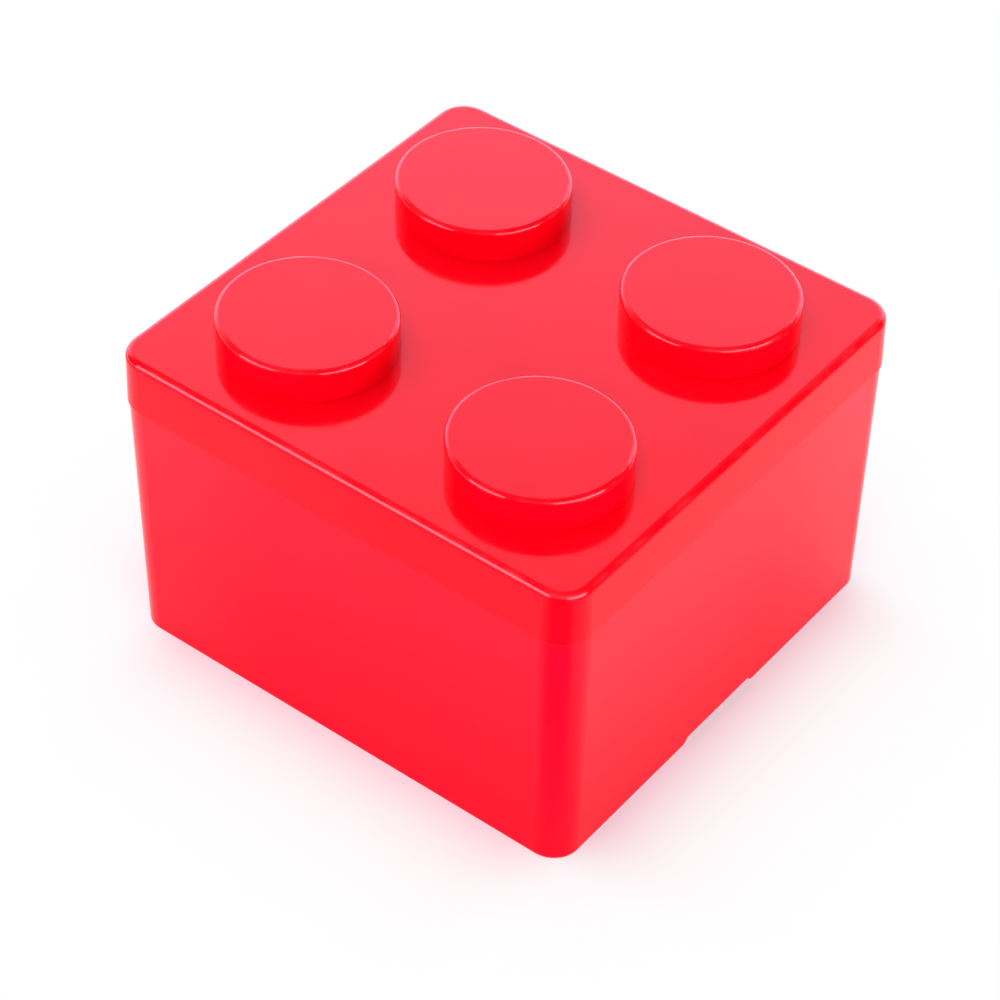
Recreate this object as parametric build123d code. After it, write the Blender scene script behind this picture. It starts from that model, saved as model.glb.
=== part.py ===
from build123d import *
import math
import os

# Toy brick storage box: an open square box and a lift-off lid with four round studs.
# Millimetres. The origin is the centre of the foot's plane, +Z is up and -Y is the front.

# Studs on the lid: two rows of two, with a gap between neighbours and a margin to the lid's top edge
stud_radius = 20.5
stud_height = 8.0
stud_gap = 22.6
stud_margin = 10.1
stud_side_wall = 2.0
stud_top_wall = 2.0
stud_edge_round = 1.2

# Lid, which is a little wider at its lip than at its top
lid_corner_radius = 7.2
lid_edge_round = 1.7
lid_plate = 2.0
lid_lean = 0.31
skirt_depth = 14.0
skirt_wall = 1.4
skirt_lip_round = 0.3

# Fit of the lid on the box
seam_gap = 0.15
neck_gap = 0.25
lid_overhang = 0.2

# Box, whose outer walls lean outwards up to the shoulder
shoulder_height = 67.35
neck_wall = 1.1
rim_chamfer = 0.3
wall_lean = 1.0
wall_corner_radius = 6.8
floor_thickness = 2.2
floor_round = 2.0
least_corner = 0.5

# Foot and underside
foot_wall = 2.5
foot_round = 0.4
notch_length = 28.0
notch_height = 1.7
notch_end_run = 2.0
stud_headroom = 1.0
socket_gap = 0.3
socket_wall = 1.6
socket_lift = 0.5

# Heights that follow from the sizes above
skirt_low = shoulder_height + seam_gap
lid_top = skirt_low + skirt_depth
rim_height = lid_top - lid_plate
floor_low = stud_height + stud_headroom
floor_top = floor_low + floor_thickness

# Plan sizes that follow, the inner ones taken in from the lid's top edge
stud_pitch = 2 * stud_radius + stud_gap
lid_width = stud_pitch + 2 * stud_radius + 2 * stud_margin
lip_width = lid_width + 2 * lid_lean
shoulder_width = lip_width - 2 * lid_overhang
base_width = shoulder_width - 2 * wall_lean
neck_inset = skirt_wall + neck_gap
neck_width = lid_width - 2 * neck_inset
mouth_width = neck_width - 2 * neck_wall
lean_per_mm = wall_lean / shoulder_height
wall_angle = math.degrees(math.atan(lean_per_mm))
lid_angle = math.degrees(math.atan(lid_lean / skirt_depth))
cavity_lean = lean_per_mm * (rim_height - floor_top)
cavity_width = mouth_width - 2 * cavity_lean
recess_width = base_width - 2 * foot_wall
socket_radius = stud_radius + socket_gap


def corner_at(width):
    """Plan corner radius of a wall this wide, concentric with the corner of the lid's top."""
    inset = (lid_width - width) / 2
    return max(lid_corner_radius - inset, least_corner)


def upright_block(width, low, high):
    """Square block with rounded plan corners and upright sides."""
    plan = Pos(0, 0, low) * RectangleRounded(width, width, corner_at(width))
    return extrude(plan, amount=high - low)


def leaning_block(width, corner, low, high, angle):
    """Square block, this wide and rounded at its foot, whose sides lean outwards by an angle in degrees."""
    plan = Pos(0, 0, low) * RectangleRounded(width, width, corner)
    return extrude(plan, amount=high - low, taper=-angle)


def lowest_edges(solid):
    """Edges that lie in the solid's lowest plane."""
    return solid.edges().group_by(Axis.Z)[0]


def highest_edges(solid):
    """Edges that lie in the solid's highest plane."""
    return solid.edges().group_by(Axis.Z)[-1]


def stud_places(height):
    """The four stud axes at a height, one per quarter of the plan."""
    return [Pos(0, 0, height) * place for place in GridLocations(stud_pitch, stud_pitch, 2, 2)]


def make_walls():
    """Leaning outer walls up to the shoulder, with the upright neck on top."""
    body = leaning_block(base_width, wall_corner_radius, 0, shoulder_height, wall_angle)
    body = fillet(lowest_edges(body), foot_round)
    neck = upright_block(neck_width, shoulder_height, rim_height)
    neck = chamfer(highest_edges(neck), rim_chamfer)
    return body + neck


def make_cavity():
    """Room inside the box, from the floor to the rim, with a floor edge as round as its corners allow."""
    corner = corner_at(cavity_width)
    cavity = leaning_block(cavity_width, corner, floor_top, rim_height, wall_angle)
    return fillet(lowest_edges(cavity), min(floor_round, corner))


def make_notch(side):
    """Shallow finger notch with slanted ends through the foot wall on one side of X."""
    half = notch_length / 2
    profile = Plane.YZ * make_face(
        Polyline(
            (-half, 0),
            (half, 0),
            (half - notch_end_run, notch_height),
            (notch_end_run - half, notch_height),
            close=True,
        )
    )
    inner = recess_width / 2
    reach = shoulder_width / 2 - inner
    start = inner if side > 0 else -inner - reach
    return Pos(start, 0, 0) * extrude(profile, amount=reach)


def make_socket():
    """Round wall under the floor that takes one stud of a box below."""
    ring = Circle(socket_radius + socket_wall) - Circle(socket_radius)
    return extrude(ring, amount=floor_low - socket_lift)


def make_box():
    """Open box: walls, neck, raised floor, foot, sockets and finger notches."""
    box = make_walls() - make_cavity() - upright_block(recess_width, 0, floor_low)
    for place in stud_places(socket_lift):
        box += place * make_socket()
    for side in (-1, 1):
        box -= make_notch(side)
    return box


def make_stud():
    """Solid stud with a rounded top edge, standing on its own base plane."""
    stud = extrude(Circle(stud_radius), amount=stud_height)
    return fillet(highest_edges(stud), stud_edge_round)


def make_stud_hollow():
    """Round hollow inside one stud, open through the lid's plate."""
    depth = lid_plate + stud_height - stud_top_wall
    return extrude(Circle(stud_radius - stud_side_wall), amount=depth)


def lid_block(width, high):
    """Block this wide at the lip, whose sides lean inwards by the lid's draft up to a height."""
    return leaning_block(width, corner_at(width), skirt_low, high, -lid_angle)


def make_lid():
    """Cap with a skirt, a rounded top edge and four hollow studs."""
    lid = lid_block(lip_width, lid_top)
    lid = fillet(highest_edges(lid), lid_edge_round)
    lid = fillet(lowest_edges(lid), skirt_lip_round)
    for place in stud_places(lid_top):
        lid += place * make_stud()
    lid -= lid_block(lip_width - 2 * skirt_wall, rim_height)
    for place in stud_places(rim_height):
        lid -= place * make_stud_hollow()
    return lid


os.makedirs("parts", exist_ok=True)
export_step(make_box(), "parts/box.step")
export_step(make_lid(), "parts/lid.step")
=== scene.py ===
import logging
import math
from abc import ABC, abstractmethod
from dataclasses import dataclass, field
from enum import Enum
from typing import Sequence, Tuple, Union

import bpy
import numpy as np
from mathutils import Matrix, Vector

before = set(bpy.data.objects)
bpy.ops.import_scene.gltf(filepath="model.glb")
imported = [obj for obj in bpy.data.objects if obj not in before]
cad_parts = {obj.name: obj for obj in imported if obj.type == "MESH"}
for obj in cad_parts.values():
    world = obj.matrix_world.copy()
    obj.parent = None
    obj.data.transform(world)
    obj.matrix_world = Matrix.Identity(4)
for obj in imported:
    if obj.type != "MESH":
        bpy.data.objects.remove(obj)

LOG = logging.getLogger("brick_box")
MM = 0.001

Colour = Tuple[float, float, float]
Span = Tuple[float, float]
Socket = bpy.types.NodeSocket
Value = Union[float, Socket]

WHITE: Colour = (1.0, 1.0, 1.0)
# Share of a rounded edge's radius by which the middle of the round stays clear of the sharp edge
ROUND_DEPTH = math.sqrt(2.0) - 1.0
# Least squared level length of a direction, so that the one straight up has an azimuth too
LEAST_SQUARE = 1e-6


def heading(azimuth: float, elevation: float) -> Vector:
    """Unit vector of a direction: azimuth counts from +X towards +Y, elevation from the horizon.

    Args:
        azimuth: Angle in the floor's plane, in degrees.
        elevation: Angle above the floor's plane, in degrees.

    Returns:
        The direction.
    """
    turn, lift = math.radians(azimuth), math.radians(elevation)
    level = math.cos(lift)
    return Vector((math.cos(turn) * level, math.sin(turn) * level, math.sin(lift)))


def spread(width: Span) -> Span:
    """Cosines of two angles in degrees, the far one first, for a step that rises to a direction."""
    near, far = (math.cos(math.radians(angle)) for angle in width)
    return far, near


def falling(rise: Span) -> Span:
    """Sines of two elevations in degrees, the high one first, for a step that falls with height."""
    low, high = (math.sin(math.radians(angle)) for angle in rise)
    return high, low


def grid_object(name: str, points: np.ndarray) -> bpy.types.Object:
    """Makes a mesh object from a grid of points, with one quad between each four neighbours.

    Args:
        name: The object's name.
        points: Array of shape (rows, columns, 3), in metres.

    Returns:
        The linked object, at the origin.
    """
    rows, columns = points.shape[:2]
    index = np.arange(rows * columns).reshape(rows, columns)
    corners = (index[:-1, :-1], index[:-1, 1:], index[1:, 1:], index[1:, :-1])
    quads = np.stack([corner.ravel() for corner in corners], axis=-1)
    mesh = bpy.data.meshes.new(name)
    mesh.from_pydata(points.reshape(-1, 3).tolist(), [], quads.tolist())
    mesh.polygons.foreach_set("use_smooth", np.ones(len(quads), dtype=bool))
    mesh.update()
    made = bpy.data.objects.new(name, mesh)
    bpy.context.scene.collection.objects.link(made)
    return made


class NodeSketch:
    """Wires shader nodes with short calls. A value is either a number or another node's output."""

    def __init__(self, tree: bpy.types.NodeTree) -> None:
        """Empties the tree that is to be wired."""
        self.tree = tree
        tree.nodes.clear()

    def add(self, kind: str, **settings: object) -> bpy.types.Node:
        """Adds a node and sets its own settings.

        Args:
            kind: The node's type name.
            settings: Attributes of the node.

        Returns:
            The node.
        """
        node = self.tree.nodes.new(kind)
        for key, value in settings.items():
            setattr(node, key, value)
        return node

    def put(self, socket: Socket, value: object) -> None:
        """Links an output to a socket, or sets the socket where the value is a plain one."""
        if isinstance(value, Socket):
            self.tree.links.new(value, socket)
        else:
            socket.default_value = value

    def parts(self, vector: Socket) -> Sequence[Socket]:
        """The x, y and z of a vector."""
        node = self.add("ShaderNodeSeparateXYZ")
        self.put(node.inputs[0], vector)
        return tuple(node.outputs)

    def math(self, operation: str, *values: Value, clamp: bool = False) -> Socket:
        """Result of a Math node on up to three values.

        Args:
            operation: The Math node's operation.
            values: Its inputs.
            clamp: Whether the result is kept between 0 and 1.

        Returns:
            The result's socket.
        """
        node = self.add("ShaderNodeMath", operation=operation, use_clamp=clamp)
        for socket, value in zip(node.inputs, values):
            self.put(socket, value)
        return node.outputs[0]

    def toward(self, x: Socket, y: Socket, azimuth: float) -> Socket:
        """How far a vector reaches along the level direction of an azimuth in degrees."""
        way = heading(azimuth, 0.0)
        return self.math("ADD", self.math("MULTIPLY", x, way.x), self.math("MULTIPLY", y, way.y))

    def ramp(self, value: Value, span: Span, low: float = 0.0, high: float = 1.0) -> Socket:
        """Smooth step of a value from one level to another.

        Args:
            value: What is stepped.
            span: Values at which the step starts and ends. The second may be the lower one.
            low: Level at the start.
            high: Level at the end.

        Returns:
            The result's socket.
        """
        node = self.add("ShaderNodeMapRange", interpolation_type="SMOOTHSTEP")
        start, end = span
        bounds = (start, end, low, high) if end > start else (end, start, high, low)
        for socket, number in zip(node.inputs[1:5], bounds):
            socket.default_value = number
        self.put(node.inputs[0], value)
        return node.outputs[0]

    def noise(self, place: Socket, grain: float, detail: float) -> Socket:
        """Cloudy noise from 0 to 1 whose blotches are about one grain wide, in metres."""
        node = self.add("ShaderNodeTexNoise")
        self.put(node.inputs["Vector"], place)
        node.inputs["Scale"].default_value = 1.0 / grain
        node.inputs["Detail"].default_value = detail
        return node.outputs[0]

    def blend(self, share: Value, first: object, second: object) -> Socket:
        """Colour that goes from the first to the second as the share goes from 0 to 1."""
        node = self.add("ShaderNodeMix", data_type="RGBA")
        for slot, value in ((0, share), (6, first), (7, second)):
            self.put(node.inputs[slot], (*value, 1.0) if isinstance(value, tuple) else value)
        return node.outputs[2]


@dataclass(frozen=True)
class Ring:
    """Line round a rounded square in a level plane, in metres, folded about the middle planes.

    With a pitch it is four such lines, centred half a pitch from each middle plane, as round the
    four studs. A circle is a rounded square whose corner radius is half its width.
    """

    half: float
    corner: float
    height: float
    pitch: float = 0.0

    def inset(self, nodes: NodeSketch, place: Socket) -> Socket:
        """Signed distance from the line in plan, below 0 inside it.

        With q = |folded place| less the straight half length, it is the length of q's positive
        parts, plus q's larger part where that is negative, less the corner radius.

        Args:
            nodes: The tree to wire.
            place: Object coordinates.

        Returns:
            The distance's socket, in metres.
        """
        sides = []
        for axis in nodes.parts(place)[:2]:
            folded = nodes.math("ABSOLUTE", axis)
            if self.pitch:
                folded = nodes.math("ABSOLUTE", nodes.math("SUBTRACT", folded, self.pitch / 2))
            sides.append(nodes.math("SUBTRACT", folded, self.half - self.corner))
        outer = [nodes.math("MAXIMUM", side, 0.0) for side in sides]
        squares = [nodes.math("MULTIPLY", side, side) for side in outer]
        reach = nodes.math("SQRT", nodes.math("ADD", *squares))
        inner = nodes.math("MINIMUM", nodes.math("MAXIMUM", *sides), 0.0)
        return nodes.math("SUBTRACT", nodes.math("ADD", reach, inner), self.corner)


FOOT = Ring(half=61.51 * MM, corner=6.8 * MM, height=0.0)


@dataclass(frozen=True)
class RubbedEdge:
    """Edge that hands rub: worn up to the full distance from it, untouched from the none one."""

    line: Ring
    full: float
    none: float

    def nearness(self, nodes: NodeSketch, place: Socket) -> Socket:
        """How close a point is to the line: 1 within the full distance, 0 beyond the none distance.

        The distance is the hypotenuse of the inset in plan and the height difference.

        Args:
            nodes: The tree to wire.
            place: Object coordinates.

        Returns:
            The result's socket.
        """
        rise = nodes.math("SUBTRACT", nodes.parts(place)[2], self.line.height)
        inset = self.line.inset(nodes, place)
        squares = [nodes.math("MULTIPLY", leg, leg) for leg in (inset, rise)]
        distance = nodes.math("SQRT", nodes.math("ADD", *squares))
        return nodes.ramp(distance, (self.none, self.full))


@dataclass(frozen=True)
class Hollow:
    """Room inside a moulding: further in from a line than the wall, and below the ceiling."""

    line: Ring
    wall: float
    ceiling: float

    def share(self, nodes: NodeSketch, place: Socket) -> Socket:
        """1 in the hollow and 0 outside it."""
        within = nodes.math("LESS_THAN", self.line.inset(nodes, place), -self.wall)
        below = nodes.math("LESS_THAN", nodes.parts(place)[2], self.ceiling)
        return nodes.math("MULTIPLY", within, below)


@dataclass(frozen=True)
class Mottle:
    """Cloudy noise stepped into blotches: its grain in metres, and the noise levels of the step."""

    grain: float
    detail: float
    span: Span = (0.3, 0.7)

    def share(self, nodes: NodeSketch, place: Socket, low: float = 0.0,
              high: float = 1.0) -> Socket:
        """The blotches, from the low level to the high one."""
        return nodes.ramp(nodes.noise(place, self.grain, self.detail), self.span, low, high)


@dataclass(frozen=True)
class Hairlines:
    """Fine scratches in a few directions about Z, in degrees. Width and length are in metres."""

    turns: Sequence[float] = (24.0, -51.0, 80.0)
    width: float = 0.0004
    length: float = 0.03
    span: Span = (0.66, 0.74)
    roughness: float = 0.05

    def share(self, nodes: NodeSketch, place: Socket) -> Value:
        """Share of scratched surface: for each direction a step of noise drawn out along it.

        Args:
            nodes: The tree to wire.
            place: Object coordinates.

        Returns:
            The share's socket.
        """
        lines: Value = 0.0
        for turn in self.turns:
            mapping = nodes.add("ShaderNodeMapping", vector_type="TEXTURE")
            mapping.inputs["Rotation"].default_value = (0.0, 0.0, math.radians(turn))
            mapping.inputs["Scale"].default_value = (self.length, self.width, self.length)
            nodes.put(mapping.inputs["Vector"], place)
            drawn = nodes.noise(mapping.outputs[0], grain=1.0, detail=1.0)
            lines = nodes.math("MAXIMUM", lines, nodes.ramp(drawn, self.span))
        return lines


@dataclass(frozen=True)
class Swell:
    """Unevenness of a moulded face: the width of its waves and their depth, in metres."""

    grain: float
    depth: float


@dataclass(frozen=True)
class PaintedGlossFade:
    """Painted reflection and painted shade, given as a refractive index that differs over a
    moulding. Lengths are in metres.

    The index paints light and shade into the mirror image: the box's walls are darker lower down,
    the walls are paler towards the back, the front corner is darker and the tops' glints are
    brighter. It rises with a smooth step of the height and, where it has risen, again from the
    front corner to the back. Next to the side corners and behind them it rises at all heights.
    Upright faces that look the way of the front corner lose the dip, a painted shade, more of it
    higher up, and faces that look up gain the crown, which paints stronger glints.
    """

    least: float
    rise: float
    back_rise: float
    side_rise: float
    height: Span
    crown: float = 0.0
    upward: Span = (0.40, 0.50)
    back: Span = (-90.0 * MM, 10.0 * MM)
    side: Span = (-50.0 * MM, -5.0 * MM)
    dip: float = 0.13
    dip_azimuth: float = -59.0
    dip_width: Span = (6.0, 30.0)
    dip_height: Span = (0.0 * MM, 70.0 * MM)

    def index(self, nodes: NodeSketch, place: Socket) -> Socket:
        """Refractive index at a place, which paints the reflection's light and shade.

        It is least, plus a step of the height times (rise + back_rise times back), plus side_rise
        times side, where back and side are smooth steps of y - x, which grows from the front corner
        to the back one. The dip, a painted shade, comes off with a step of how far the face's
        normal reaches along the dip's azimuth, times a step of the height. The crown, which paints
        stronger glints, comes on with a step of the normal's height.

        Args:
            nodes: The tree to wire.
            place: Object coordinates.

        Returns:
            The index's socket.
        """
        x, y, z = nodes.parts(place)
        behind = nodes.math("SUBTRACT", y, x)
        gain = nodes.math("MULTIPLY_ADD", nodes.ramp(behind, self.back), self.back_rise, self.rise)
        low = nodes.math("MULTIPLY_ADD", nodes.ramp(behind, self.side), self.side_rise, self.least)
        index = nodes.math("MULTIPLY_ADD", nodes.ramp(z, self.height), gain, low)
        across, along, up = nodes.parts(nodes.add("ShaderNodeTexCoord").outputs["Normal"])
        # Painted shade: upright faces towards the front corner get a weaker mirror image
        turned = nodes.ramp(nodes.toward(across, along, self.dip_azimuth), spread(self.dip_width))
        dipped = nodes.math("MULTIPLY", turned, nodes.ramp(z, self.dip_height))
        index = nodes.math("MULTIPLY_ADD", dipped, -self.dip, index)
        # Painted highlight: upward faces get a stronger mirror image, so glints show brighter
        return nodes.math("MULTIPLY_ADD", nodes.ramp(up, self.upward), self.crown, index)


@dataclass(frozen=True)
class RedPlastic:
    """Glossy dyed-through red of a moulding, with slight flow clouds, ripple and handling marks."""

    colour: Colour = (0.95, 0.0003, 0.009)
    cloud_colour: Colour = (0.91, 0.0003, 0.008)
    rubbed_colour: Colour = (1.0, 0.030, 0.045)
    rubbed_share: float = 0.35
    rubbed_roughness: float = 0.2
    gloss_tint: Colour = (1.0, 0.76, 1.0)
    ior: float = 1.50
    roughness: Span = (0.09, 0.14)
    satin: float = 0.30
    clouds: Mottle = Mottle(grain=0.045, detail=2.0)
    polish: Mottle = Mottle(grain=0.012, detail=3.0)
    patches: Mottle = Mottle(grain=0.006, detail=4.0, span=(0.42, 0.68))
    scuffs: Hairlines = Hairlines()
    ripple: Swell = Swell(grain=0.036, depth=0.000022)
    peel: Swell = Swell(grain=0.0035, depth=0.0000022)

    def material(self, name: str, rubbed: Sequence[RubbedEdge], hollows: Sequence[Hollow],
                 gloss: PaintedGlossFade) -> bpy.types.Material:
        """Makes the material of one moulding.

        Args:
            name: The material's name.
            rubbed: Edges that hands and shelves rub.
            hollows: Rooms inside the moulding, which are satin.
            gloss: Painted reflection and shade: how strong its mirror image is where.

        Returns:
            The material.
        """
        made = bpy.data.materials.new(name)
        made.use_nodes = True
        made.diffuse_color = (*self.colour, 1.0)
        nodes = NodeSketch(made.node_tree)
        place = nodes.add("ShaderNodeTexCoord").outputs["Object"]
        shader = nodes.add("ShaderNodeBsdfPrincipled")
        shader.inputs["IOR"].default_value = self.ior
        shader.inputs["Specular Tint"].default_value = (*self.gloss_tint, 1.0)
        # Painted reflection and shade: the index map sets how strong the mirror image is where
        nodes.put(shader.inputs["IOR"], gloss.index(nodes, place))

        wear = self.wear(nodes, place, rubbed)
        tint = nodes.blend(self.clouds.share(nodes, place), self.colour, self.cloud_colour)
        nodes.put(shader.inputs["Base Color"], nodes.blend(wear, tint, self.rubbed_colour))
        nodes.put(shader.inputs["Roughness"], self.sheen(nodes, place, wear, hollows))
        nodes.put(shader.inputs["Normal"], self.relief(nodes, place))

        output = nodes.add("ShaderNodeOutputMaterial")
        nodes.put(output.inputs["Surface"], shader.outputs[0])
        return made

    def wear(self, nodes: NodeSketch, place: Socket, rubbed: Sequence[RubbedEdge]) -> Socket:
        """Share of rubbed colour: the nearest edge's nearness, broken up by patches.

        Args:
            nodes: The tree to wire.
            place: Object coordinates.
            rubbed: Edges that are rubbed.

        Returns:
            The share's socket.
        """
        near: Value = 0.0
        for edge in rubbed:
            near = nodes.math("MAXIMUM", near, edge.nearness(nodes, place))
        broken = nodes.math("MULTIPLY", near, self.patches.share(nodes, place))
        return nodes.math("MULTIPLY", broken, self.rubbed_share)

    def sheen(self, nodes: NodeSketch, place: Socket, wear: Socket,
              hollows: Sequence[Hollow]) -> Socket:
        """Roughness: cloudy polish outside with a few hairlines, satin inside.

        Args:
            nodes: The tree to wire.
            place: Object coordinates.
            wear: Share of rubbed colour.
            hollows: Rooms inside the moulding.

        Returns:
            The roughness's socket.
        """
        polish = self.polish.share(nodes, place, *self.roughness)
        scuffed = self.scuffs.share(nodes, place)
        polish = nodes.math("MULTIPLY_ADD", scuffed, self.scuffs.roughness, polish)
        polish = nodes.math("MULTIPLY_ADD", wear, self.rubbed_roughness, polish)
        inside: Value = 0.0
        for hollow in hollows:
            inside = nodes.math("MAXIMUM", inside, hollow.share(nodes, place))
        outside = nodes.math("MULTIPLY", polish, nodes.math("SUBTRACT", 1.0, inside))
        return nodes.math("MULTIPLY_ADD", inside, self.satin, outside, clamp=True)

    def relief(self, nodes: NodeSketch, place: Socket) -> Socket:
        """Normal bent by the slow ripple of cooled plastic and then by a fine orange peel.

        Args:
            nodes: The tree to wire.
            place: Object coordinates.

        Returns:
            The normal's socket.
        """
        normal = None
        for swell in (self.ripple, self.peel):
            bump = nodes.add("ShaderNodeBump")
            bump.inputs["Distance"].default_value = swell.depth
            nodes.put(bump.inputs["Height"], nodes.noise(place, swell.grain, detail=1.0))
            if normal is not None:
                nodes.put(bump.inputs["Normal"], normal)
            normal = bump.outputs[0]
        return normal


@dataclass
class Moulding(ABC):
    """Moulded piece whose CAD solid is kept and gets its finish here."""

    node: str
    gloss: PaintedGlossFade
    plastic: RedPlastic

    @abstractmethod
    def rubbed_edges(self) -> Sequence[RubbedEdge]:
        """Edges that hands and shelves rub."""

    @abstractmethod
    def hollows(self) -> Sequence[Hollow]:
        """Rooms inside the piece."""

    def dress(self) -> bpy.types.Object:
        """Puts the plastic on the CAD solid.

        Returns:
            The piece's object.
        """
        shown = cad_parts[self.node]
        name = f"red_plastic_{self.node}"
        made = self.plastic.material(name, self.rubbed_edges(), self.hollows(), self.gloss)
        for slot in shown.material_slots:
            slot.material = made
        return shown


@dataclass
class Lid(Moulding):
    """Lift-off lid: a square cap with a skirt and four hollow studs.

    A skin is the depth from the outside at which a hollow is taken to start.
    """

    node: str = "lid"
    # Painted reflection and shade: the skirt's mirror image is stronger towards the back, the front
    # corner is painted darker, and a crown paints brighter glints on the tops
    gloss: PaintedGlossFade = PaintedGlossFade(least=1.213, rise=0.0, back_rise=0.07, side_rise=0.0,
                                 height=(80.5 * MM, 79.0 * MM), crown=0.587)
    plastic: RedPlastic = RedPlastic()
    half: float = 62.4 * MM
    corner: float = 7.2 * MM
    lean: float = 0.31 * MM
    edge_round: float = 1.7 * MM
    top: float = 81.5 * MM
    skirt_skin: float = 1.33 * MM
    plate_skin: float = 0.2 * MM
    stud_radius: float = 20.5 * MM
    stud_pitch: float = 63.6 * MM
    stud_round: float = 1.2 * MM
    stud_top: float = 89.5 * MM
    stud_skin: float = 1.0 * MM
    rub_reach: float = 0.6

    def studs(self) -> Ring:
        """Outline of the four studs at their top."""
        return Ring(self.stud_radius, self.stud_radius, self.stud_top, self.stud_pitch)

    def rubbed_edges(self) -> Sequence[RubbedEdge]:
        """Top edge and stud edges, each worn in the middle of its round."""
        rim = Ring(self.half, self.corner, self.top)
        rounds = ((rim, self.edge_round), (self.studs(), self.stud_round))
        return [RubbedEdge(line, ROUND_DEPTH * radius, self.rub_reach * radius)
                for line, radius in rounds]

    def hollows(self) -> Sequence[Hollow]:
        """The room under the plate and the four hollows in the studs."""
        lip = Ring(self.half + self.lean, self.corner + self.lean, self.top)
        return (
            Hollow(lip, self.skirt_skin, self.top - self.plate_skin),
            Hollow(self.studs(), self.stud_skin, self.stud_top - self.stud_skin),
        )


@dataclass
class Box(Moulding):
    """Open box with a neck for the lid, finger notches and sockets.

    A skin is the depth from the outside at which a hollow is taken to start.
    """

    node: str = "box"
    # Painted reflection and shade: the walls' mirror image is weaker low down, stronger towards the
    # back and beside the side corners, and the front corner is painted darker
    gloss: PaintedGlossFade = PaintedGlossFade(least=1.15, rise=0.075, back_rise=0.045, side_rise=0.075,
                                 height=(15.0 * MM, 75.0 * MM))
    plastic: RedPlastic = RedPlastic(colour=(0.95, 0.0003, 0.016),
                                     cloud_colour=(0.91, 0.0003, 0.014),
                                     gloss_tint=(1.0, 0.67, 1.0))
    foot: Ring = FOOT
    foot_rub: Span = (0.3 * MM, 1.2 * MM)
    neck_half: float = 60.75 * MM
    neck_corner: float = 5.55 * MM
    neck_skin: float = 0.88 * MM
    rim: float = 79.5 * MM
    rim_skin: float = 0.5 * MM

    def rubbed_edges(self) -> Sequence[RubbedEdge]:
        """The edge of the foot."""
        return (RubbedEdge(self.foot, *self.foot_rub),)

    def hollows(self) -> Sequence[Hollow]:
        """The room for the bricks, and with it the underside between the sockets."""
        neck = Ring(self.neck_half, self.neck_corner, self.rim)
        return (Hollow(neck, self.neck_skin, self.rim - self.rim_skin),)


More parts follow.
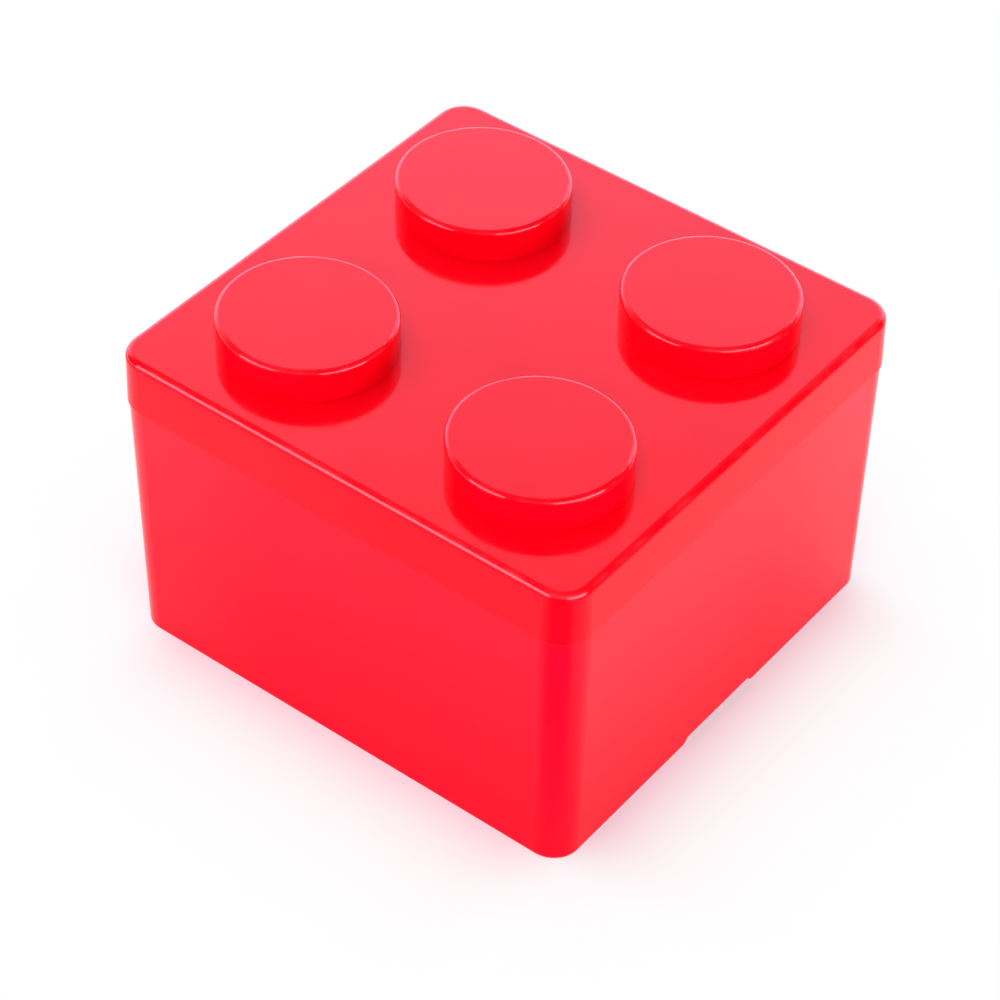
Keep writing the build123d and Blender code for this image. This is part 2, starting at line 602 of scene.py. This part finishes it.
@dataclass
class TableTop:
    """Round white table that the box stands on. It isn't part of the object."""

    radius: float = 0.32
    centre: Span = (-0.05, 0.07)
    steps: int = 49
    edge: float = 0.02
    colour: Colour = (0.82, 0.87, 0.95)
    # Painted red bounce light and painted shade: the glow near the box takes this pink
    painted_bounce: Colour = (1.0, 0.26, 0.42)
    # Painted red glow of the floor strip seen in the finger notch under the box
    painted_notch_glow: Colour = (0.82, 0.53, 0.61)
    foot: Ring = FOOT
    shade: float = 0.45
    shade_reach: float = 11.0 * MM
    corner: Span = (44.0 * MM, 64.0 * MM)
    corner_share: float = 0.25
    brim: Span = (-0.3 * MM, 0.3 * MM)

    def points(self) -> np.ndarray:
        """Disc with a rolled-down rim.

        A square grid u, v from -1 to 1 becomes the disc x = u sqrt(1 - v v / 2),
        y = v sqrt(1 - u u / 2), which has no pole. Its height is 0, and falls off as a quarter
        circle over the rim's width.

        Returns:
            Array of shape (steps, steps, 3), in metres.
        """
        line = np.sin(np.linspace(-0.5, 0.5, self.steps) * np.pi)
        u, v = np.meshgrid(line, line, indexing="xy")
        x, y = u * np.sqrt(1.0 - v * v / 2.0), v * np.sqrt(1.0 - u * u / 2.0)
        past = np.hypot(x, y) * self.radius - (self.radius - self.edge)
        over = np.clip(past / self.edge, 0.0, 1.0)
        z = -self.edge * (1.0 - np.sqrt(1.0 - over * over))
        middle_x, middle_y = self.centre
        return np.stack([middle_x + self.radius * x, middle_y + self.radius * y, z], axis=-1)

    def build(self) -> bpy.types.Object:
        """Makes the table top."""
        made = grid_object("table_top", self.points())
        return made

    def dress(self, made: bpy.types.Object) -> None:
        """Matt white that is seen lifted to white, less so near the box, where it keeps the shadow.

        The shadow's share falls off with the distance d from the foot as shade times
        exp(-d / reach), and eases off round the corners, where |x| and |y| are both large. Where
        the
        shadow shows, the lift is tinted pink: painted red bounce light and painted shade. Under the
        box only a strip in the finger notch shows, which glows a painted red that no lamp gives.

        Args:
            made: The table top.
        """
        finish = bpy.data.materials.new("table_white")
        finish.use_nodes = True
        nodes = NodeSketch(finish.node_tree)
        place = nodes.add("ShaderNodeTexCoord").outputs["Object"]
        paint = nodes.add("ShaderNodeBsdfDiffuse")
        paint.inputs["Color"].default_value = (*self.colour, 1.0)

        sides = [nodes.math("ABSOLUTE", side) for side in nodes.parts(place)[:2]]
        lesser = nodes.math("MINIMUM", *sides)
        depth = nodes.ramp(lesser, self.corner, self.shade, self.shade * self.corner_share)
        inset = self.foot.inset(nodes, place)
        fall = nodes.math("EXPONENT", nodes.math("MULTIPLY", inset, -1.0 / self.shade_reach))
        outside = nodes.ramp(inset, self.brim)
        shade = nodes.math("MULTIPLY", nodes.math("MULTIPLY", fall, depth), outside)

        glow = nodes.add("ShaderNodeEmission")
        # Painted bounce light and shade: the glow turns pink near the box
        tint = nodes.blend(shade, WHITE, self.painted_bounce)
        # Painted red glow inside the notch, where the floor lies under the box
        nodes.put(glow.inputs["Color"], nodes.blend(outside, self.painted_notch_glow, tint))
        path = nodes.add("ShaderNodeLightPath")
        seen = nodes.math("MAXIMUM", path.outputs["Is Camera Ray"], path.outputs["Is Glossy Ray"])
        seen = nodes.math("MAXIMUM", seen, path.outputs["Is Transmission Ray"])
        lift = nodes.math("MULTIPLY", seen, nodes.math("SUBTRACT", 1.0, shade))

        mix = nodes.add("ShaderNodeMixShader")
        for socket, value in zip(mix.inputs, (lift, paint.outputs[0], glow.outputs[0])):
            nodes.put(socket, value)
        output = nodes.add("ShaderNodeOutputMaterial")
        nodes.put(output.inputs["Surface"], mix.outputs[0])
        made.data.materials.append(finish)


class LampUse(Enum):
    """What a lamp is there for."""

    GLINT = "shows in the gloss"
    FILL = "lights the colour"


@dataclass(frozen=True)
class Panel:
    """Flat studio lamp that faces the box. Angles are in degrees, lengths in metres.

    Its radiance is 1 where a white card in full light would be white.
    """

    name: str
    use: LampUse
    azimuth: float
    elevation: float
    width: float
    height: float
    radiance: float
    distance: float = 1.4
    aim: Tuple[float, float, float] = (0.0, 0.0, 0.06)

    def build(self) -> bpy.types.Object:
        """Hangs the lamp, with a power of pi times its area times its radiance.

        Returns:
            The lamp.
        """
        light = bpy.data.lights.new(self.name, "AREA")
        light.shape = "RECTANGLE"
        light.size, light.size_y = self.width, self.height
        light.energy = math.pi * self.width * self.height * self.radiance
        light.color = WHITE
        lamp = bpy.data.objects.new(self.name, light)
        away = heading(self.azimuth, self.elevation)
        lamp.location = Vector(self.aim) + away * self.distance
        lamp.rotation_mode = "QUATERNION"
        lamp.rotation_quaternion = (-away).to_track_quat("-Z", "Y")
        lamp.visible_camera = False
        lamp.visible_glossy = self.use is LampUse.GLINT
        lamp.visible_diffuse = self.use is LampUse.FILL
        bpy.context.scene.collection.objects.link(lamp)
        return lamp


@dataclass(frozen=True)
class Sector:
    """Part of the horizon: whole within a near angle from its azimuth, gone beyond a far one."""

    azimuth: float
    width: Span

    def share(self, nodes: NodeSketch, way: Sequence[Socket]) -> Socket:
        """Whether a direction lies over the sector: a step of the cosine of its angle in plan.

        Args:
            nodes: The tree to wire.
            way: The direction's x, y and z.

        Returns:
            The share's socket, from 0 to 1.
        """
        x, y, z = way
        square = nodes.math("SUBTRACT", 1.0, nodes.math("MULTIPLY", z, z))
        level = nodes.math("SQRT", nodes.math("MAXIMUM", square, LEAST_SQUARE))
        facing = nodes.math("DIVIDE", nodes.toward(x, y, self.azimuth), level)
        return nodes.ramp(facing, spread(self.width))


@dataclass(frozen=True)
class StudioRoom:
    """What surrounds the table: white up to the horizon, a white sweep behind, a dim room overhead.

    The gloss sees a darker room, a brighter sweep with a still brighter foot, and dark flags on the
    horizon beside the lamps. Rises are elevations in degrees.
    """

    white: float = 1.0
    dim: float = 0.22
    dim_gloss: float = 0.02
    horizon_rise: Span = (3.0, 9.0)
    flags: Sequence[Sector] = (Sector(38.0, (17.0, 21.0)), Sector(-64.5, (20.0, 24.0)))
    sweep: float = 1.53
    sweep_light: float = 1.0
    sweep_side: Sector = Sector(126.0, (40.0, 66.0))
    sweep_start: Span = (-0.02, 0.02)
    sweep_rise: Span = (25.0, 55.5)
    foot: float = 2.6
    foot_rise: Span = (6.0, 11.0)
    cool: Colour = (0.94, 0.96, 1.25)

    def ring(self, nodes: NodeSketch, way: Sequence[Socket], gloss: Socket) -> Socket:
        """Brightness without the sweep: white low down where no flag stands, and dim above.

        Args:
            nodes: The tree to wire.
            way: The direction's x, y and z.
            gloss: 1 for what the gloss sees.

        Returns:
            The brightness's socket.
        """
        flagged: Value = 0.0
        for flag in self.flags:
            flagged = nodes.math("MAXIMUM", flagged, flag.share(nodes, way))
        clear = nodes.math("SUBTRACT", 1.0, nodes.math("MULTIPLY", gloss, flagged))
        pale = nodes.math("MULTIPLY", nodes.ramp(way[2], falling(self.horizon_rise)), clear)
        dim = nodes.math("MULTIPLY_ADD", gloss, self.dim_gloss - self.dim, self.dim)
        return nodes.math("MULTIPLY_ADD", pale, nodes.math("SUBTRACT", self.white, dim), dim)

    def build(self) -> bpy.types.World:
        """Wires the world: smooth steps of the direction's height and azimuth join its levels.

        Returns:
            The scene's world.
        """
        world = bpy.data.worlds.new("studio_room")
        world.use_nodes = True
        bpy.context.scene.world = world
        nodes = NodeSketch(world.node_tree)
        unit = nodes.add("ShaderNodeVectorMath", operation="NORMALIZE")
        nodes.put(unit.inputs[0], nodes.add("ShaderNodeTexCoord").outputs["Generated"])
        way = nodes.parts(unit.outputs[0])
        height = way[2]
        gloss = nodes.add("ShaderNodeLightPath").outputs["Is Glossy Ray"]

        sweep = self.sweep_side.share(nodes, way)
        for step in (falling(self.sweep_rise), self.sweep_start):
            sweep = nodes.math("MULTIPLY", sweep, nodes.ramp(height, step))
        tall = nodes.ramp(height, falling(self.foot_rise), self.sweep, self.foot)
        extra = nodes.math("SUBTRACT", tall, self.sweep_light)
        glow = nodes.math("MULTIPLY_ADD", gloss, extra, self.sweep_light)
        lit = nodes.math("MULTIPLY", sweep, glow)
        strength = nodes.math("MAXIMUM", self.ring(nodes, way, gloss), lit)

        air = nodes.add("ShaderNodeBackground")
        nodes.put(air.inputs["Color"], nodes.blend(sweep, WHITE, self.cool))
        nodes.put(air.inputs["Strength"], strength)
        output = nodes.add("ShaderNodeOutputWorld")
        nodes.put(output.inputs["Surface"], air.outputs[0])
        return world


@dataclass
class Studio:
    """Table, room and lamps round the box."""

    table: TableTop = field(default_factory=TableTop)
    room: StudioRoom = field(default_factory=StudioRoom)
    panels: Sequence[Panel] = (
        Panel("left_softbox", LampUse.GLINT, azimuth=-112.0, elevation=17.5,
              width=1.02, height=0.94, radiance=2.6),
        Panel("right_softbox", LampUse.GLINT, azimuth=-10.5, elevation=17.5,
              width=1.40, height=0.94, radiance=2.8),
        Panel("left_fill", LampUse.FILL, azimuth=-112.0, elevation=2.0,
              width=1.02, height=0.80, radiance=5.0),
        Panel("right_fill", LampUse.FILL, azimuth=-10.5, elevation=2.0,
              width=1.40, height=0.70, radiance=5.0),
        Panel("front_fill", LampUse.FILL, azimuth=-54.0, elevation=38.0,
              width=1.2, height=1.2, radiance=1.9),
        Panel("top_fill", LampUse.FILL, azimuth=170.0, elevation=62.0,
              width=1.6, height=1.6, radiance=1.95),
    )

    def build(self) -> None:
        """Sets up the stage and the light."""
        made = self.table.build()
        self.table.dress(made)
        LOG.info("stage %s: %d faces", made.name, len(made.data.polygons))
        self.room.build()
        for panel in self.panels:
            lamp = panel.build()
            LOG.info("lamp %s: %s", lamp.name, panel.use.value)


@dataclass
class PhotoCamera:
    """Camera that stands where the photograph's did. Angles are in degrees, its place in metres.

    The photograph is sheared a little: a step up in it also leads to the right, by the shear.
    """

    focal_px: float = 3351.89
    image_px: float = 1000.0
    sensor_mm: float = 36.0
    clip: Span = (0.01, 50.0)
    yaw: float = 36.3162
    pitch: float = 42.5980
    roll: float = 2.4870
    shear: float = 0.0226
    place: Tuple[float, float, float] = (0.33835, -0.46289, 0.55718)

    def axes(self) -> np.ndarray:
        """Camera axes: it looks ahead by yaw about Z and pitch below the horizon, then rolls.

        Returns:
            Matrix whose columns are the camera's right, sheared up and backward directions.
        """
        ahead = heading(90.0 + self.yaw, -self.pitch)
        level = heading(self.yaw, 0.0)
        above = level.cross(ahead)
        roll = math.radians(self.roll)
        right = level * math.cos(roll) + above * math.sin(roll)
        up = above * math.cos(roll) - level * math.sin(roll)
        return np.array((right, up + right * self.shear, -ahead)).T

    def build(self) -> bpy.types.Object:
        """Makes the camera and hands it to the scene.

        One object can't hold a shear. So the axes are split by their singular values into a turn
        with an uneven scale, for a stand, and a second turn, for the camera on it.

        Returns:
            The camera.
        """
        lens = bpy.data.cameras.new("photo_camera")
        lens.sensor_fit = "HORIZONTAL"
        lens.sensor_width = self.sensor_mm
        lens.lens = self.focal_px / self.image_px * self.sensor_mm
        lens.clip_start, lens.clip_end = self.clip
        outer, scale, inner = np.linalg.svd(self.axes())
        outer, inner = outer * np.linalg.det(outer), inner * np.linalg.det(inner)
        stand = bpy.data.objects.new("camera_stand", None)
        stand.matrix_world = Matrix.Translation(self.place) @ Matrix(outer * scale).to_4x4()
        camera = bpy.data.objects.new("photo_camera", lens)
        camera.parent = stand
        camera.matrix_basis = Matrix(inner).to_4x4()
        for piece in (stand, camera):
            bpy.context.scene.collection.objects.link(piece)
        bpy.context.scene.camera = camera
        return camera


def main() -> None:
    """Dresses the box and the lid, then sets up the studio and the camera."""
    logging.basicConfig(level=logging.INFO, format="%(message)s")
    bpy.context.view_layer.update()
    for piece in (Box(), Lid()):
        shown = piece.dress()
        LOG.info("piece %s: %d faces", shown.name, len(shown.data.polygons))
    Studio().build()
    PhotoCamera().build()
    bpy.context.scene.view_settings.view_transform = "Standard"


if __name__ == "__main__":
    main()
